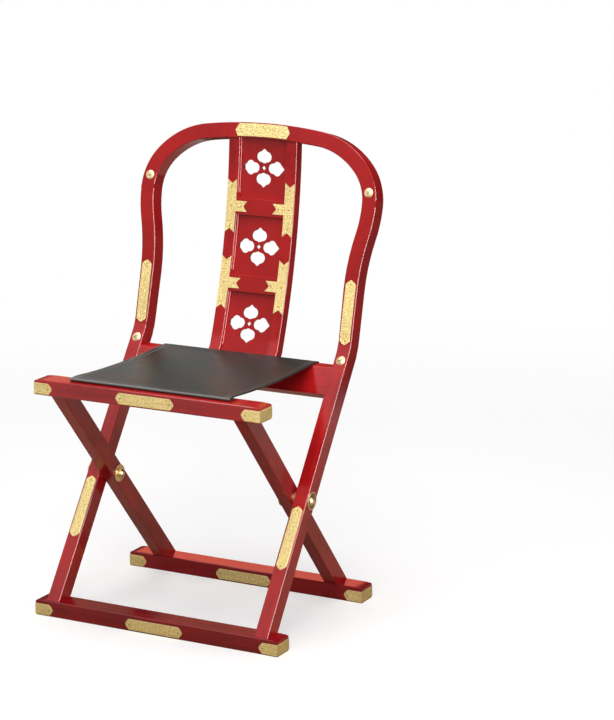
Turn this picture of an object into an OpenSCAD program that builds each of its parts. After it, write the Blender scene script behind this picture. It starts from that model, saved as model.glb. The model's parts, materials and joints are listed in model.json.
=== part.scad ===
// Folding temple chair: two lacquered frames that cross like scissors, a leather sling and a horseshoe back.
// Millimetres. X to the right as seen from the front, Y to the back, Z up. The floor is Z = 0.
// Left and right are the left and right of someone who looks at the front of the chair.

/* [Stance] */
// Height of the pivot above the floor
pivot_z = 239.5; // [225:0.5:255]
// Lean of the back legs from upright, towards the back
back_lean = 35.2; // [33:0.1:37]
// Lean of the seat legs from upright, towards the front
seat_lean = 40.9; // [38:0.1:43]
// Height of the seat rail's top
seat_h = 455.5; // [442:0.5:470]

/* [Rails] */
// Length of both foot rails over their end caps
foot_rail_len = 510; // [490:1:540]
// Height of both foot rails
foot_rail_h = 30; // [27:0.5:32]
// Length of the seat rail over its end caps
seat_rail_len = 466; // [450:1:480]
// Height of the seat rail
seat_rail_h = 28.5; // [26:0.5:30]
// Depth of the three rails, front to back
rail_d = 43; // [42:0.5:46]
// Width of the chamfers along the rails
rail_arris = 1.5; // [0.5:0.1:1.5]
// How far the rails' tops curve down at their ends
rail_end_drop = 2.5; // [1:0.5:3]
// Length of those curves
rail_end_len = 21; // [12:1:21]
// How far the front foot rail's middle stands in front of the middle of its legs
front_foot_forward = 3; // [0:0.5:4]
// How far the seat rail's middle stands in front of the middle of its legs
seat_rail_forward = 6; // [0:0.5:7]

/* [Legs] */
// Width over the outside of the back legs
frame_w = 464.8; // [450:0.4:480]
// Width of a back leg
back_leg_w = 26.5; // [24:0.5:28]
// Width of a seat leg
seat_leg_w = 26; // [23:0.5:29]
// Depth of every leg and of the hoop
leg_d = 33; // [28:0.5:36]
// Space between a back leg and the seat leg beside it
leg_gap = 4.4; // [3:0.1:6]
// Length of the tenons that join legs and rails
tenon_len = 16; // [10:1:18]
// Width of the legs' tenons
leg_tenon_w = 12; // [10:0.5:14]
// Depth of the legs' tenons
leg_tenon_d = 22; // [18:0.5:24]

/* [Hoop] */
// Lean of the hoop from upright, towards the back
hoop_lean = 13.9; // [10:0.1:17]
// Height at which the front faces of leg and hoop would meet
bend_z = 490; // [480:1:500]
// Radius of the bend on the front face
bend_r = 90; // [70:1:90]
// Rise of the hoop from the bend to the top, along its lean
hoop_rise = 401; // [390:1:415]
// Width of the hoop's band
hoop_w = 28.5; // [27:0.5:31]
// Outer radius of the shoulders
shoulder_r = 162.5; // [155:0.5:170]
// Outer radius of the sides where they are widest
brow_r = 116; // [105:1:125]
// Outer radius of the long curve down from the widest place
cheek_r = 259; // [240:1:275]
// Outer radius of the hollow curve that runs out into the straight
waist_r = 409; // [380:1:430]
// Angle at which the crest's arc ends and the shoulder's begins
crest_a = 82.45; // [82:0.05:83]
// Angle at which the shoulder's arc ends
shoulder_a = 42.7; // [40:0.1:45]
// Angle that the cheek and the waist each turn
waist_a = 13.5; // [12:0.1:15]

/* [Scarf joints] */
// Start of the lower scarf, up the leg from the pivot
low_scarf_t = 244; // [242:1:248]
// Length of the lower scarf
low_scarf_len = 46; // [40:1:50]
// Start of the upper scarf, up the hoop from the bend
high_scarf_s = 262; // [255:1:268]
// Length of the upper scarf
high_scarf_len = 50; // [40:1:56]
// Radius of a scarf screw's domed head
scarf_head_r = 8.75; // [7:0.25:10]
// Height of that head
scarf_dome_h = 2.6; // [1.5:0.1:3.5]
// Radius of a scarf screw's shank
scarf_shank_r = 3; // [2:0.25:4]

/* [Rear seat rail] */
// Height of its level top
rear_rail_z = 455.5; // [452:0.5:460]
// Thickness
rear_rail_t = 20; // [16:1:21]
// How far its front lies behind the front of the legs
rear_rail_inset = 1.5; // [0.5:0.5:4]
// Its lower edge, up the leg from the pivot
rear_rail_foot_t = 199; // [190:1:202]

/* [Splat] */
// Radius of the bow of the splat's front, seen from the side
bow_r = 1240; // [1100:10:1500]
// Width over the outside of the stiles
splat_w = 145; // [136:1:160]
// Width of a stile's front face
stile_w = 23.2; // [21:0.1:26]
// Depth of a stile
stile_d = 22; // [20:0.5:25]
// Width of the ledge along a stile's inner edge
ledge_w = 2.4; // [2:0.1:5]
// Depth at which that ledge lies
ledge_drop = 3.5; // [2:0.1:5]
// How far a stile's front lies behind the front of the crest
stile_set = 3.6; // [2:0.1:5]
// Height of the middle of the upper splat rail
splat_rail_high = 720.5; // [705:0.5:735]
// Height of the middle of the lower splat rail
splat_rail_low = 578.5; // [565:0.5:592]
// Height of a splat rail
splat_rail_h = 31; // [26:1:36]
// Depth at which the panels lie behind the stiles' front
panel_drop = 6.5; // [5.5:0.5:8]
// Thickness of a panel
panel_t = 4; // [3:0.5:6]
// Width of a flower's upper and lower petals
petal_w = 32.4; // [30:0.2:34]
// Width of a flower's side petals
side_petal_w = 27.6; // [25:0.2:29]
// Distance from a flower's middle to the tips of its upper and lower petals
petal_reach = 37.5; // [36:0.5:39]
// Half the width of the hole in a flower's middle
eye_r = 4.8; // [3:0.1:5.5]
// How far the highest flower's middle lies above the middle of its panel
high_flower_rise = 1; // [0:0.5:3]
// How far the middle flower's middle lies under the middle of its panel
middle_flower_drop = 1; // [0:0.5:3]
// How far the lowest flower's middle lies under the lower splat rail's middle
low_flower_drop = 70; // [68:0.5:74]

/* [Fittings] */
// Thickness of the sheet metal fittings
plate_t = 0.8; // [0.5:0.1:1.2]
// Width of the long plates
plate_w = 21; // [18:0.5:22]
// Length of the plates on the rails and legs
plate_len = 120; // [100:1:130]
// Depth of the pointed ends of the plates
plate_tip = 8; // [5:0.5:10]
// Height of the middle of a rail's plate above the rail's underside
plate_mid = 13.1; // [12.5:0.1:14]
// Middle of the leg plates, down the leg from the pivot
leg_plate_drop = 79.5; // [76:0.5:90]
// Middle of the hoop plates, up the hoop from the bend
hoop_plate_s = 64.5; // [62:0.5:75]
// Length of an end cap along its rail, with its tip
cap_len = 38; // [30:1:45]
// Height of an end cap
cap_h = 21; // [19:0.5:21]
// Height of the middle of an end cap above the rail's underside
cap_mid = 12.3; // [12:0.1:13.5]
// Width of the arms of the T fittings
tee_w = 20; // [17:0.5:21]
// Length of the T fittings, along the stile
tee_len = 101; // [80:1:120]
// Length of the arm of a T fitting past the stile's inner edge
tee_arm = 22; // [15:0.5:30]
// Depth of the swallow tails of the T fittings
tee_notch = 8; // [4:0.5:10]
// Length of the crest plate
crest_plate_len = 116; // [90:1:130]
// Lacquer left bare above and below the crest plate
crest_plate_margin = 2.2; // [1:0.1:4]

/* [Pivots] */
// Radius of the pivot bolts
bolt_r = 5; // [4:0.25:6]
// Radius of the pivot washers
washer_r = 16.5; // [13:0.5:16.5]
// Thickness of the pivot washers
washer_t = 1.4; // [1:0.1:2]
// Radius of the domed heads and nuts
dome_r = 7.8; // [7:0.1:9]

/* [Leather] */
// Width of the seat leather
leather_w = 330; // [300:1:338]
// Thickness of the seat leather
leather_t = 1.8; // [1.2:0.1:2]
// Sag of the leather in the middle
leather_sag = 5; // [2:0.5:8]
// Red lacquer left bare in front of the leather, on top of the seat rail
leather_setback = 14; // [12:0.5:17]
// How far the leather reaches down the back of the rear seat rail
leather_flap = 25; // [18:1:26]
// Width of the batten that the leather's front edge is tacked under
batten_w = 12; // [8:1:14]
// Thickness of that batten
batten_t = 1.5; // [1.2:0.1:2]

/* [Fits] */
// Clearance round the bolts, screws and tacks
pin_fit = 0.05; // [0.02:0.01:0.1]
// Clearance round the tenons and the panels' edges
wood_fit = 0.15; // [0.05:0.05:0.3]
// Clearance behind the bent T fittings
plate_fit = 0.05; // [0.05:0.01:0.1]
// Clearance between the leather and the wood
leather_fit = 0.3; // [0.2:0.05:0.4]
// Clearance on each side of a washer that the moving leg runs on
run_fit = 0.15; // [0.1:0.05:0.3]

/* [Hidden] */
$fn = 96;
red = "#a31d22";
gold = "#e2cd8e";
hide = "#4b4643";

// Half widths, from the middle of the chair
frame_x = frame_w / 2;
leg_in_x = frame_x - back_leg_w;
seat_leg_x = leg_in_x - leg_gap;
seat_leg_in_x = seat_leg_x - seat_leg_w;

// Where things lie in front of or behind the pivot
half_d = leg_d / 2;
seat_rail_z = seat_h - seat_rail_h;
seat_top_y = -(seat_rail_z - pivot_z) * tan(seat_lean);
front_reach = seat_rail_forward + rail_d / 2 + plate_t - seat_top_y;
bend_t = (bend_z - pivot_z - half_d * sin(back_lean)) / cos(back_lean);
bend_off = bend_t * sin(back_lean) - half_d * cos(back_lean);
back_reach = bend_off + hoop_rise * sin(hoop_lean) + leg_d * cos(hoop_lean);
// The origin lies under the middle of the whole chair
pivot_y = (front_reach - back_reach) / 2;
bend_y = pivot_y + bend_off;
back_leg_foot_y = pivot_y - (pivot_z - foot_rail_h) * tan(back_lean);
front_foot_y = back_leg_foot_y - front_foot_forward;
rear_foot_y = pivot_y + (pivot_z - foot_rail_h) * tan(seat_lean);
seat_leg_top_y = pivot_y + seat_top_y;
seat_rail_y = seat_leg_top_y - seat_rail_forward;

// The bend between leg and hoop
bend_turn = back_lean - hoop_lean;
bend_run = bend_r * tan(bend_turn / 2);

// Points seen from the side, as [y, z]: t runs up the leg from the pivot, s up the hoop from the bend, n to the back
function leg_pt(t, n) = [
    pivot_y + t * sin(back_lean) + n * cos(back_lean), pivot_z + t * cos(back_lean) - n * sin(back_lean)
];
function hoop_pt(s, n) = [
    bend_y + s * sin(hoop_lean) + n * cos(hoop_lean), bend_z + s * cos(hoop_lean) - n * sin(hoop_lean)
];
function leg_t(p) = (p.x - pivot_y) * sin(back_lean) + (p.y - pivot_z) * cos(back_lean);
function leg_n(p) = (p.x - pivot_y) * cos(back_lean) - (p.y - pivot_z) * sin(back_lean);
function leg_t_at(z, n) = (z - pivot_z + n * sin(back_lean)) / cos(back_lean);
function toward(a) = [cos(a), sin(a)];
// Points along an arc, at most step degrees apart, without its first point
function arc(c, r, a0, a1, step = 3) =
    let (n = ceil(abs(a1 - a0) / step)) [for (i = [1:n]) c + r * toward(a0 + (a1 - a0) * i / n)];
function reversed(list) = [for (i = [len(list) - 1:-1:0]) list[i]];
bend_c = leg_pt(bend_t - bend_run, -half_d - bend_r);

// Centres of the hoop's arcs as [x, s]. The crest's radius follows, so that the arc meets itself in the middle.
waist_x = frame_x + waist_r;
cheek_x = waist_x - (cheek_r + waist_r) * cos(waist_a);
brow_x = cheek_x + cheek_r - brow_r;
shoulder_x = brow_x - (shoulder_r - brow_r) * cos(shoulder_a);
crest_r = shoulder_r + shoulder_x / cos(crest_a);
crest_c = [0, hoop_rise - crest_r];
shoulder_c = [shoulder_x, crest_c.y + (crest_r - shoulder_r) * sin(crest_a)];
brow_c = [brow_x, shoulder_c.y + (shoulder_r - brow_r) * sin(shoulder_a)];
cheek_c = [cheek_x, brow_c.y];
waist_c = [waist_x, brow_c.y - (cheek_r + waist_r) * sin(waist_a)];
crest_in_r = crest_r - hoop_w;

// The rear seat rail, by its depth in the leg
rear_rail_n0 = -half_d + rear_rail_inset;
rear_rail_n1 = rear_rail_n0 + rear_rail_t;
rear_tenon_t = 35;
rear_tenon_n = 10;
rear_tenon_t0 = rear_rail_foot_t + 6;
rear_edge = [leg_pt(leg_t_at(rear_rail_z, rear_rail_n1), rear_rail_n1).x, rear_rail_z];

// The splat's bow passes behind the rear seat rail's leather and meets the crest's underside
stile_n = rear_rail_n1 + leather_t + 2 * leather_fit;
stile_foot_t = rear_rail_foot_t + 13;
kink = leg_pt(leg_t_at(rear_rail_z + 9.5, stile_n), stile_n);
bow_top = hoop_pt(hoop_rise - hoop_w, stile_set);
bow_span = bow_top - kink;
bow_c = (kink + bow_top) / 2
    + sqrt(bow_r * bow_r - bow_span * bow_span / 4) * [-bow_span.y, bow_span.x] / norm(bow_span);
function bow_a(z) = asin((z - bow_c.y) / bow_r);
function bow_deg(len) = len / bow_r * 180 / PI;
kink_a = bow_a(kink.y);
stile_x = splat_w / 2;
stile_in_x = stile_x - stile_w;
ledge_x = stile_in_x - ledge_w;
stile_back = bow_c + (bow_r + stile_d) * toward(kink_a);
// How far the panels stand in the grooves of the stiles and of the rails
panel_edge = 4.5;
groove_in = 4;
rail_depth = 20;
panel_foot_a = bow_a(rear_rail_z - 2);
crest_under_z = bow_top.y;
// How far what is cut to the crest's curve is first drawn past it
panel_over = 20;
flower_top_z = (crest_under_z + splat_rail_high + splat_rail_h / 2) / 2 + high_flower_rise;
flower_mid_z = (splat_rail_high + splat_rail_low) / 2 - middle_flower_drop;
flower_low_z = splat_rail_low - low_flower_drop;

// The leather and its batten
leather_front = seat_rail_y - rail_d / 2 + leather_setback;
hem_z = seat_h + leather_fit;
hem_in = batten_t / 2 + leather_fit;
hem_out = hem_in + leather_t;
hem_mid = hem_z + hem_out;
hem_y = leather_front + hem_out;
seat_z = hem_mid + hem_in;
leather_rear_z = rear_rail_z + leather_fit;
leather_rear_y = leg_pt(leg_t_at(rear_rail_z, rear_rail_n0), rear_rail_n0).x;
sag_steps = 16;
flap_t0 = leg_t(rear_edge) - leather_flap;

tack_r = 1;
tack_head_r = 2.6;
tack_len = 8;
// Nine tacks in front, three on each side of the splat behind, and three between its stiles
front_tack_edge = 22;
front_tacks = [for (i = [-4:4]) i * (leather_w / 2 - front_tack_edge) / 4];
rear_tacks = [for (i = [1, 3, 5], m = [-1, 1]) m * (stile_x + (leather_w / 2 - stile_x) * i / 6)];
middle_tacks = [for (i = [-1:1]) i * ledge_x * 2 / 3];

// A 2D piece of a ring between two angles
module ring_sector(c, r0, r1, a0, a1) {
    reach = 1.5 * r1;
    translate(c) intersection() {
        difference() {
            circle(r1, $fn = r1 > 300 ? 720 : 180);
            circle(r0, $fn = r1 > 300 ? 720 : 180);
        }
        polygon([[0, 0], reach * toward(a0), 2 * reach * toward((a0 + a1) / 2), reach * toward(a1)]);
    }
}

// A side view [y, z] given thickness from x0 to x1
module side_slab(x0, x1) {
    translate([x0, 0, 0]) rotate([90, 0, 90]) linear_extrude(x1 - x0) children();
}

// Side views drawn as [n, t] on the leg and as [n, s] on the hoop
module on_leg() {
    translate([pivot_y, pivot_z]) rotate(-back_lean) children();
}
module on_hoop() {
    translate([bend_y, bend_z]) rotate(-hoop_lean) children();
}

// Solids drawn as [x, t, n] on the back leg, [x, t, n] on the seat leg and [x, s, n] on the hoop
module leg_frame() {
    translate([0, pivot_y, pivot_z]) rotate([-back_lean, 0, 0]) mirror([0, 1, 0]) rotate([90, 0, 0]) children();
}
module hoop_frame() {
    translate([0, bend_y, bend_z]) rotate([-hoop_lean, 0, 0]) mirror([0, 1, 0]) rotate([90, 0, 0]) children();
}
// Flat shapes [x, up] that stand square to the splat's bow at the height z, and cut back to front through it
module splat_frame(z) {
    translate([0, bow_c.x, bow_c.y]) rotate([bow_a(z), 0, 0]) translate([0, bow_r + 40, 0]) rotate([90, 0, 0])
        linear_extrude(60) children();
}

module both_sides() {
    children();
    mirror([1, 0, 0]) children();
}
module on_side(side) {
    mirror([side < 0 ? 1 : 0, 0, 0]) children();
}
module rod_x(x0, x1, r) {
    translate([x0, pivot_y, pivot_z]) rotate([0, 90, 0]) cylinder(h = x1 - x0, r = r);
}

// The rails seen from the front: flat below, with a top that curves down over both ends
module rail_outline(len, z0, h) {
    r = (rail_end_len * rail_end_len + rail_end_drop * rail_end_drop) / (2 * rail_end_drop);
    c = [len / 2 - rail_end_len, z0 + h - r];
    top = concat([[c.x, z0 + h]], arc(c, r, 90, 90 - asin(rail_end_len / r)));
    polygon(concat([[-len / 2, z0 - 1], [len / 2, z0 - 1]], reversed(top), [for (p = top) [-p.x, p.y]]));
}
// The rails: a chamfered bar, middle at y and from z0 up
module rail_bar(len, y, z0, h) {
    a = rail_arris;
    d = rail_d / 2;
    intersection() {
        side_slab(-len / 2, len / 2) polygon([
            [y - d + a, z0], [y + d - a, z0], [y + d, z0 + a], [y + d, z0 + h - a],
            [y + d - a, z0 + h], [y - d + a, z0 + h], [y - d, z0 + h - a], [y - d, z0 + a]
        ]);
        translate([0, y + rail_d, 0]) rotate([90, 0, 0]) linear_extrude(2 * rail_d) rail_outline(len, z0, h);
    }
}
// A tenon from z0 to z1, and its mortise when fit is more than 0
module post_tenon(x, y, z0, z1, fit) {
    translate([x - leg_tenon_w / 2 - fit, y - leg_tenon_d / 2 - fit, z0])
        cube([leg_tenon_w + 2 * fit, leg_tenon_d + 2 * fit, z1 - z0]);
}
back_leg_mid = (frame_x + leg_in_x) / 2;
seat_leg_mid = (seat_leg_x + seat_leg_in_x) / 2;

module foot_rail(y, leg_x, leg_y) {
    color(red) difference() {
        rail_bar(foot_rail_len - 2 * plate_t, y, 0, foot_rail_h);
        both_sides() post_tenon(leg_x, leg_y, foot_rail_h - tenon_len - wood_fit, foot_rail_h + 1, wood_fit);
    }
}
module front_foot_rail() {
    foot_rail(front_foot_y, back_leg_mid, back_leg_foot_y);
}
module rear_foot_rail() {
    foot_rail(rear_foot_y, seat_leg_mid, rear_foot_y);
}
module front_seat_rail() {
    z0 = seat_rail_z;
    color(red) difference() {
        rail_bar(seat_rail_len - 2 * plate_t, seat_rail_y, z0, seat_rail_h);
        both_sides() post_tenon(seat_leg_mid, seat_leg_top_y, z0 - 1, z0 + tenon_len + wood_fit, wood_fit);
        at_front_tacks(seat_h - tack_len) cylinder(h = tack_len + 1, r = tack_r + pin_fit, $fn = 24);
    }
}

// The back leg, the bend and the start of the hoop, seen from the side
function bend_edge(r) = concat([bend_c + r * toward(-back_lean)], arc(bend_c, r, -back_lean, -hoop_lean));
module frame_profile() {
    t0 = leg_t_at(foot_rail_h, -half_d);
    t1 = leg_t_at(foot_rail_h, half_d);
    s1 = high_scarf_s + 2 * high_scarf_len;
    polygon(concat(
        [leg_pt(t1, half_d), leg_pt(t0, -half_d)], bend_edge(bend_r), [hoop_pt(s1, 0), hoop_pt(s1, leg_d)],
        reversed(bend_edge(bend_r + leg_d))
    ));
}
// What belongs to the leg below the lower scarf: all of the depth first, then the rear half
module below_low_scarf() {
    on_leg() {
        translate([-leg_d, -2 * pivot_z]) square([2 * leg_d, 2 * pivot_z + low_scarf_t]);
        translate([0, low_scarf_t - 1]) square([leg_d, low_scarf_len + 1]);
    }
}
// The scarf screws stop short of the hoop's back
screw_short = 7;
low_screw_t = low_scarf_t + low_scarf_len / 2 + 2;
module low_screw_bore(r) {
    leg_frame() translate([back_leg_mid, low_screw_t, -half_d - 1])
        cylinder(h = leg_d - screw_short + 2, r = r, $fn = 48);
}
module back_leg(side) {
    color(red) on_side(side) difference() {
        union() {
            side_slab(leg_in_x, frame_x) intersection() {
                frame_profile();
                below_low_scarf();
            }
            post_tenon(back_leg_mid, back_leg_foot_y, foot_rail_h - tenon_len, foot_rail_h + 4, 0);
        }
        rod_x(leg_in_x - 1, frame_x + 1, bolt_r + pin_fit);
        low_screw_bore(scarf_shank_r + pin_fit);
        leg_frame() rear_tenon(wood_fit);
    }
}
module back_leg_left() {
    back_leg(-1);
}
module back_leg_right() {
    back_leg(1);
}

// The tenon of the rear seat rail in the back leg
module rear_tenon(fit) {
    translate([leg_in_x - 1, rear_tenon_t0 - fit, rear_rail_n0 + (rear_rail_t - rear_tenon_n) / 2 - fit])
        cube([tenon_len + 1 + fit, rear_tenon_t + 2 * fit, rear_tenon_n + 2 * fit]);
}
module rear_seat_rail() {
    color(red) difference() {
        union() {
            side_slab(-leg_in_x, leg_in_x) polygon([
                leg_pt(rear_rail_foot_t, rear_rail_n0), leg_pt(rear_rail_foot_t, rear_rail_n1),
                leg_pt(leg_t_at(rear_rail_z, rear_rail_n1), rear_rail_n1),
                leg_pt(leg_t_at(rear_rail_z, rear_rail_n0), rear_rail_n0)
            ]);
            both_sides() leg_frame() rear_tenon(0);
        }
        splat_screw_bores(splat_shank_r + pin_fit);
        tack_bores(tack_r + pin_fit);
    }
}

// The hoop's edge on one side as [x, s], at a depth w in from its outside: four tangent arcs, up to the crest's
function hoop_edge(w) = concat(
    [[frame_x - w, waist_c.y]], arc(waist_c, waist_r + w, 180, 180 - waist_a), arc(cheek_c, cheek_r - w, -waist_a, 0),
    arc(brow_c, brow_r - w, 0, shoulder_a), arc(shoulder_c, shoulder_r - w, shoulder_a, crest_a)
);
function crest_edge(r) = arc(crest_c, r, crest_a, 180 - crest_a, 1);
module hoop_side_outline() {
    foot_s = -2 * low_scarf_len;
    polygon(concat(
        [[frame_x, foot_s]], hoop_edge(0), reversed(hoop_edge(hoop_w)), [[leg_in_x, 0], [leg_in_x, foot_s]]
    ));
}
module hoop_outline() {
    outer = hoop_edge(0);
    inner = hoop_edge(hoop_w);
    last = len(outer) - 2;
    polygon(concat(
        outer, crest_edge(crest_r), [for (i = [last:-1:0]) [-outer[i].x, outer[i].y]],
        [for (i = [0:last]) [-inner[i].x, inner[i].y]], reversed(crest_edge(crest_in_r)), reversed(inner)
    ));
}
// What belongs to the crest above the upper scarf: the front half of the depth first, then all of it
module above_high_scarf() {
    on_hoop() {
        translate([-1, high_scarf_s]) square([half_d + 1, hoop_rise]);
        translate([half_d - 1, high_scarf_s + high_scarf_len]) square([half_d + 2, hoop_rise]);
    }
}
high_screw_a = asin((high_scarf_s + high_scarf_len / 2 - brow_c.y) / (brow_r - hoop_w / 2));
high_screw = brow_c + (brow_r - hoop_w / 2) * toward(high_screw_a);
module high_screw_bore(r) {
    hoop_frame() translate([high_screw.x, high_screw.y, -1])
        cylinder(h = leg_d - screw_short + 2, r = r, $fn = 48);
}
module hoop_side(side) {
    color(red) on_side(side) difference() {
        intersection() {
            side_slab(frame_x - 2 * hoop_w, frame_x + 2 * hoop_w) difference() {
                frame_profile();
                below_low_scarf();
                above_high_scarf();
            }
            hoop_frame() translate([0, 0, -3 * leg_d]) linear_extrude(5 * leg_d) hoop_side_outline();
        }
        low_screw_bore(scarf_shank_r + pin_fit);
        high_screw_bore(scarf_shank_r + pin_fit);
    }
}
module hoop_side_left() {
    hoop_side(-1);
}
module hoop_side_right() {
    hoop_side(1);
}

// The tenon on top of a stile, in the crest's underside: its width, depth and length, and its place behind the front
stile_mid_x = stile_x - stile_w / 2;
stile_tenon_w = 10;
stile_tenon_d = 9;
stile_tenon_len = 10;
stile_tenon_n = 6;
module stile_tenon(fit) {
    s1 = crest_c.y + sqrt(crest_in_r * crest_in_r - stile_mid_x * stile_mid_x) + stile_tenon_len;
    root = stile_tenon_len + 12;
    hoop_frame() translate([stile_mid_x - stile_tenon_w / 2 - fit, s1 - root, stile_set + stile_tenon_n - fit])
        cube([stile_tenon_w + 2 * fit, root + fit, stile_tenon_d + 2 * fit]);
}
module crest_rail() {
    color(red) difference() {
        hoop_frame() difference() {
            linear_extrude(leg_d) hoop_outline();
            translate([-frame_w, -hoop_rise, -1]) cube([2 * frame_w, hoop_rise + high_scarf_s, leg_d + 2]);
            translate([-frame_w, -hoop_rise, half_d])
                cube([2 * frame_w, hoop_rise + high_scarf_s + high_scarf_len, leg_d]);
        }
        both_sides() stile_tenon(wood_fit);
        both_sides() high_screw_bore(scarf_shank_r + pin_fit);
    }
}

// The space under the crest, to cut the splat's top to the crest's curve
module under_crest() {
    low = -2 * hoop_rise;
    start = crest_c + crest_in_r * toward(crest_a);
    hoop_frame() translate([0, 0, -3 * leg_d]) linear_extrude(6 * leg_d)
        polygon(concat([[frame_w, low], start], crest_edge(crest_in_r), [[-frame_w, low]]));
}
module stile_profile(drop) {
    ring_sector(bow_c, bow_r + drop, bow_r + stile_d, kink_a, bow_a(crest_under_z + panel_over));
}
// The foot of a stile lies along the leg's lean and steps forward onto the rear seat rail, under the leather
stile_back_n = leg_n(stile_back);
module stile_foot() {
    step_t = flap_t0 - 1.5;
    polygon([
        leg_pt(stile_foot_t, rear_rail_n1), leg_pt(step_t, rear_rail_n1), leg_pt(step_t, stile_n), kink,
        bow_c + (bow_r + stile_d / 2) * toward(kink_a + bow_deg(9)), stile_back, leg_pt(stile_foot_t, stile_back_n)
    ]);
}
splat_shank_r = 1.9;
splat_head_r = 4;
splat_screw_ts = [stile_foot_t + 6, flap_t0 - 8];
module splat_screw_bores(r) {
    both_sides() leg_frame() for (t = splat_screw_ts) translate([stile_mid_x, t, rear_rail_n0 + 4])
        cylinder(h = stile_back_n + 10 - rear_rail_n0, r = r, $fn = 32);
}
// Side views drawn as [depth behind the bow's front, up] square to the bow at the height z
module on_bow(z) {
    translate(bow_c) rotate(bow_a(z)) translate([bow_r, 0]) children();
}
// A splat rail's tenon: its length, height and depth, and its place behind the front
rail_tenon_len = 12;
rail_tenon_h = 14;
rail_tenon_d = 6;
rail_tenon_n = 8;
module rail_tenon(z, fit) {
    side_slab(ledge_x - 1, ledge_x + rail_tenon_len + fit) on_bow(z)
        translate([rail_tenon_n - fit, -rail_tenon_h / 2 - fit])
            square([rail_tenon_d + 2 * fit, rail_tenon_h + 2 * fit]);
}
module splat_stile(side) {
    color(red) on_side(side) difference() {
        union() {
            intersection() {
                union() {
                    side_slab(stile_in_x, stile_x) stile_profile(0);
                    side_slab(ledge_x, stile_in_x) stile_profile(ledge_drop);
                }
                under_crest();
            }
            side_slab(stile_in_x, stile_x) stile_foot();
            stile_tenon(0);
        }
        side_slab(ledge_x - 1, ledge_x + panel_edge + wood_fit) ring_sector(
            bow_c, bow_r + panel_drop - wood_fit, bow_r + panel_drop + panel_t + wood_fit,
            panel_foot_a - bow_deg(1), bow_a(crest_under_z + panel_over)
        );
        rail_tenon(splat_rail_high, wood_fit);
        rail_tenon(splat_rail_low, wood_fit);
        splat_screw_bores(splat_shank_r + pin_fit);
    }
}
module splat_stile_left() {
    splat_stile(-1);
}
module splat_stile_right() {
    splat_stile(1);
}

// A splat rail: flush with the stiles, with the panels' grooves above and below
module splat_rail(z) {
    h = splat_rail_h / 2;
    groove = panel_t + 2 * wood_fit;
    color(red) {
        side_slab(-ledge_x, ledge_x) on_bow(z) difference() {
            translate([0, -h]) square([rail_depth, splat_rail_h]);
            for (w = [-h - groove_in, h - groove_in])
                translate([panel_drop - 1.5 * wood_fit, w]) square([groove, 2 * groove_in]);
        }
        both_sides() side_slab(ledge_x - 1, stile_in_x) on_bow(z)
            translate([0, -h]) square([ledge_drop, splat_rail_h]);
        both_sides() rail_tenon(z, 0);
    }
}
module splat_rail_upper() {
    splat_rail(splat_rail_high);
}
module splat_rail_lower() {
    splat_rail(splat_rail_low);
}
// The hidden rail between the stiles' feet, under the lowest panel and a little inside the stiles' own section
module splat_rail_bottom() {
    edge = bow_c + bow_r * toward(panel_foot_a);
    along = 4 * stile_d * toward(panel_foot_a);
    down = [0, -8 * stile_d];
    color(red) side_slab(-stile_in_x, stile_in_x) intersection() {
        on_leg() translate([stile_n + 3, stile_foot_t + 4]) square([stile_back_n - stile_n - 5, 4 * stile_d]);
        polygon([edge - along, edge - along + down, edge + along + down, edge + along]);
    }
}

// A petal points up. Two round shoulders stand over a round base, and a nib grows out of them.
petal_base = 9;
petal_nib = [7.5, 6.5];
module petal(aside, w, tip) {
    r = w / 2 - aside;
    for (m = [-1, 1]) translate([m * aside, tip - petal_nib.y - r]) circle(r, $fn = 48);
    translate([0, petal_base + r]) circle(r, $fn = 48);
    polygon([
        [0, tip], [petal_nib.x, tip - petal_nib.y], [aside, tip - petal_nib.y - r],
        [-aside, tip - petal_nib.y - r], [-petal_nib.x, tip - petal_nib.y]
    ]);
}
// Four petals round an eye. The side petals are longer, and reach almost to the stiles' ledges.
module flower() {
    for (a = [0, 180]) rotate(a) petal(6.2, petal_w, petal_reach);
    for (a = [90, -90]) rotate(a) petal(4, side_petal_w, ledge_x - 2.4);
    polygon([[eye_r, 0], [0, 1.1 * eye_r], [-eye_r, 0], [0, -1.1 * eye_r]]);
}
module splat_panel(a0, a1, flower_z) {
    color(red) difference() {
        intersection() {
            side_slab(-ledge_x - panel_edge, ledge_x + panel_edge)
                ring_sector(bow_c, bow_r + panel_drop, bow_r + panel_drop + panel_t, a0, a1);
            under_crest();
        }
        splat_frame(flower_z) flower();
    }
}
panel_in = bow_deg(splat_rail_h / 2 - groove_in + 2 * wood_fit);
module splat_panel_top() {
    splat_panel(bow_a(splat_rail_high) + panel_in, bow_a(crest_under_z + panel_over), flower_top_z);
}
module splat_panel_middle() {
    splat_panel(bow_a(splat_rail_low) + panel_in, bow_a(splat_rail_high) - panel_in, flower_mid_z);
}
module splat_panel_bottom() {
    splat_panel(panel_foot_a, bow_a(splat_rail_low) - panel_in, flower_low_z);
}

// A plate's end, tip at the origin and to the right, from its lower corner to its upper one: two arcs that swell a
// little and meet in a blunt point
tip_swell = 0.9;
function tip_side(w) =
    let (
        corner = [-plate_tip, -w / 2], chord = norm(corner),
        r = (chord * chord / 4 + tip_swell * tip_swell) / (2 * tip_swell),
        c = corner / 2 + (r - tip_swell) * [corner.y, -corner.x] / chord
    )
    concat([corner], arc(c, r, atan2(corner.y - c.y, corner.x - c.x), atan2(-c.y, -c.x), 6));
function plate_end(w) =
    let (low = tip_side(w), n = len(low) - 1)
    concat(low, [for (i = [n - 1:-1:0]) [low[i].x, -low[i].y]]);
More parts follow.
